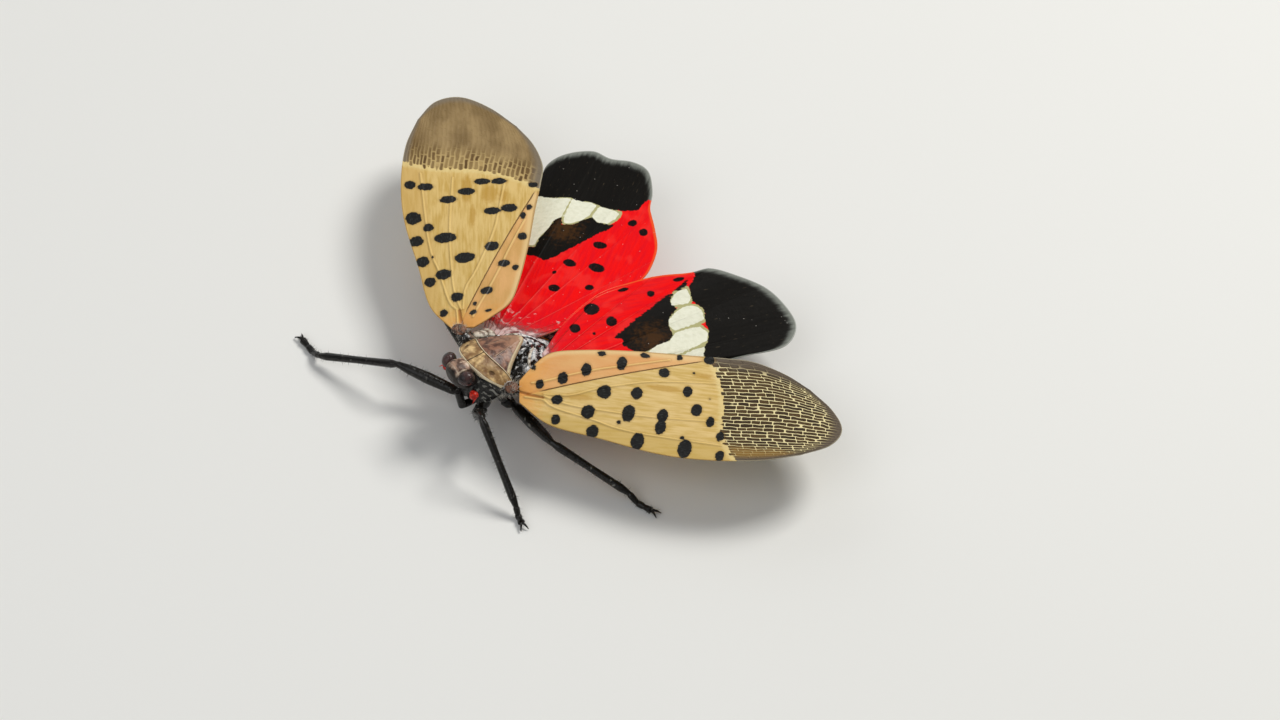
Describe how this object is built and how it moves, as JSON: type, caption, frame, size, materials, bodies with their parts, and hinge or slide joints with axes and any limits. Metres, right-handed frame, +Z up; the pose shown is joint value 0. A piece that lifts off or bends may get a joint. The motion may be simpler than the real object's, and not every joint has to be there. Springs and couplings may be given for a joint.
{
  "type": "spotted lanternfly model",
  "caption": "Life-size spotted lanternfly standing on six legs with both pairs of wings spread back, hindwings raised under the forewings.",
  "frame": {"origin": "on the floor, below the point midway between the roots of the forewings", "axes": "+Z up, -Y the way the head looks, +X the insect's left side"},
  "size_m": [0.0399, 0.0265, 0.006],
  "materials": {
    "forewing": "thin satin wing skin, tan, printed with dark spots and a fine net of veins in the outer third",
    "hindwing": "thin satin wing skin, red at the base, then black, white and black",
    "black": "glossy black shell with short pale hairs",
    "tan": "satin tan shell",
    "brown": "satin brown shell with pale margins",
    "eye": "polished dark purple-brown",
    "orange": "satin red-orange, fine grain",
    "abdomen": "satin yellow rings with black bands and white wax"
  },
  "bodies": {
    "root": {"head": "tan", "eye_left": "eye", "eye_right": "eye", "antenna_left": "orange", "antenna_right": "orange", "rostrum": "black", "pronotum": "tan", "mesonotum": "brown", "thorax": "black", "tegula_left": "brown", "tegula_right": "brown", "abdomen": "abdomen", "forewing_left": "forewing", "hindwing_left": "hindwing", "forewing_right": "forewing", "hindwing_right": "hindwing", "fore_left_coxa": "black", "fore_left_femur": "black", "fore_left_tibia": "black", "fore_left_tarsus": "black", "fore_right_coxa": "black", "fore_right_femur": "black", "fore_right_tibia": "black", "fore_right_tarsus": "black", "mid_left_coxa": "black", "mid_left_femur": "black", "mid_left_tibia": "black", "mid_left_tarsus": "black", "mid_right_coxa": "black", "mid_right_femur": "black", "mid_right_tibia": "black", "mid_right_tarsus": "black", "hind_left_coxa": "black", "hind_left_femur": "black", "hind_left_tibia": "black", "hind_left_tarsus": "black", "hind_right_coxa": "black", "hind_right_femur": "black", "hind_right_tibia": "black", "hind_right_tarsus": "black"}
  },
  "joints": []
}
